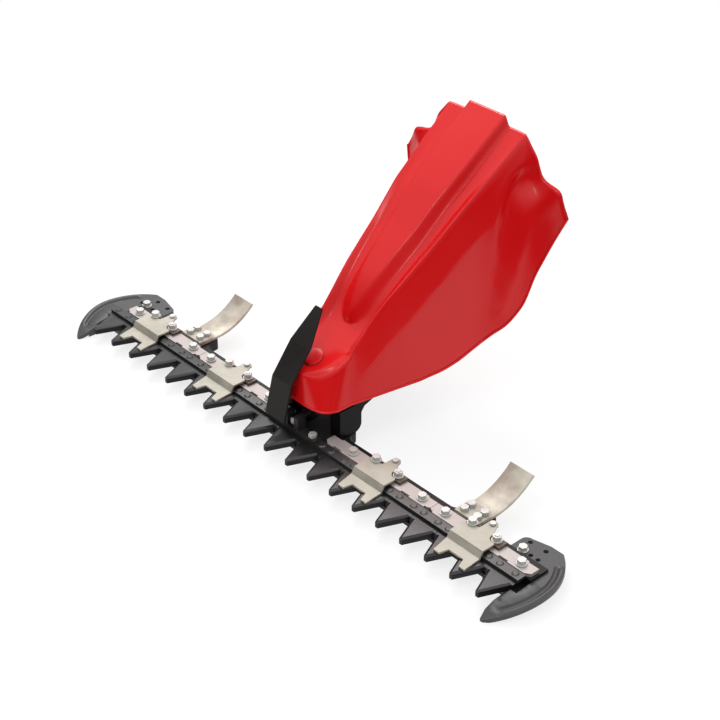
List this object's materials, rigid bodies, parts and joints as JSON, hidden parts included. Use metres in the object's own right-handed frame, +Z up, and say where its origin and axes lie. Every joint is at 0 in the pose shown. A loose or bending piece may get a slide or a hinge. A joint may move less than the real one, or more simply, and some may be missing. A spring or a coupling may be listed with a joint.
{
  "type": "sickle bar mower attachment",
  "caption": "Cutter bar attachment with a reciprocating toothed knife, end shoes, skids and a moulded hood over its drive.",
  "frame": {"origin": "on the floor in the middle of the footprint", "axes": "+X along the bar, -Y the way the teeth point, +Z up"},
  "size_m": [0.871, 0.4, 0.371],
  "materials": {
    "bar_black": "satin",
    "comb_black": "satin",
    "blade_steel": "ground",
    "back_steel": "bare",
    "plate_steel": "bare",
    "zinc_sheet": "zinc plated",
    "zinc_bolt": "zinc plated",
    "dark_steel": "oiled",
    "block_steel": "bare",
    "shoe_black": "painted",
    "guard_black": "satin",
    "hood_red": "gloss",
    "plug_red": "gloss",
    "casting_black": "painted",
    "shaft_steel": "ground",
    "bronze": "plain",
    "black_rubber": "matt"
  },
  "bodies": {
    "frame": {"main_bar": "bar_black", "finger_comb": "comb_black", "comb_screws": "dark_steel", "left_outer_plate": "plate_steel", "left_inner_plate": "plate_steel", "right_inner_plate": "plate_steel", "right_outer_plate": "plate_steel", "plate_bolts": "zinc_bolt", "plate_washers": "zinc_bolt", "knife_clip_1": "zinc_sheet", "knife_clip_2": "zinc_sheet", "knife_clip_3": "zinc_sheet", "knife_clip_4": "zinc_sheet", "clip_blocks": "block_steel", "clip_bolts": "zinc_bolt", "clip_washers": "zinc_bolt", "clip_studs": "zinc_bolt", "clip_nuts": "zinc_bolt", "tongue_pins": "zinc_bolt", "left_shoe": "shoe_black", "right_shoe": "shoe_black", "shoe_bolts": "zinc_bolt", "shoe_washers": "zinc_bolt", "left_skid": "zinc_sheet", "right_skid": "zinc_sheet", "left_skid_clamp": "zinc_sheet", "right_skid_clamp": "zinc_sheet", "skid_bolts": "zinc_bolt", "drive_housing": "casting_black", "housing_bolts": "zinc_bolt", "rear_cover": "casting_black", "cover_screws": "zinc_bolt", "front_bush": "bronze", "rear_bush": "bronze", "front_bearing": "shaft_steel", "rear_bearing": "shaft_steel", "shaft_seal": "black_rubber", "guard_bracket": "guard_black", "guard_bolts": "zinc_bolt", "nose_guard": "guard_black", "hood": "hood_red", "hood_plug": "plug_red", "hood_screw": "zinc_bolt", "front_hood_stay": "guard_black", "rear_hood_stay": "guard_black", "hood_rest_pad": "black_rubber"},
    "knife": {"knife_back": "back_steel", "knife_sections": "blade_steel", "knife_rivets": "back_steel", "knife_head": "dark_steel", "knife_head_bolts": "zinc_bolt"},
    "rocker": {"rocker_shaft": "shaft_steel", "rocker_lever": "dark_steel", "lever_nut": "zinc_bolt", "drive_pin": "shaft_steel", "rocker_fork": "dark_steel"},
    "crank": {"crank_shaft": "shaft_steel", "crank_roller": "shaft_steel", "input_coupling": "shaft_steel"}
  },
  "joints": [
    {"name": "knife_slide", "type": "slide", "parent": "frame", "child": "knife", "axis": [1, 0, 0], "range_m": [-0.021, 0.021]},
    {"name": "rocker_swing", "type": "hinge", "parent": "frame", "child": "rocker", "pos_m": [0, -0.058, 0.092], "axis": [0, -1, 0], "range_deg": [-22.4, 22.4]},
    {"name": "crank_turn", "type": "hinge", "parent": "frame", "child": "crank", "pos_m": [0, 0.052, 0.132], "axis": [0, 1, 0], "continuous": true}
  ],
  "couplings": [
    {"joint": "rocker_swing", "follows": "knife_slide", "rad_per_m": 18.478}
  ]
}
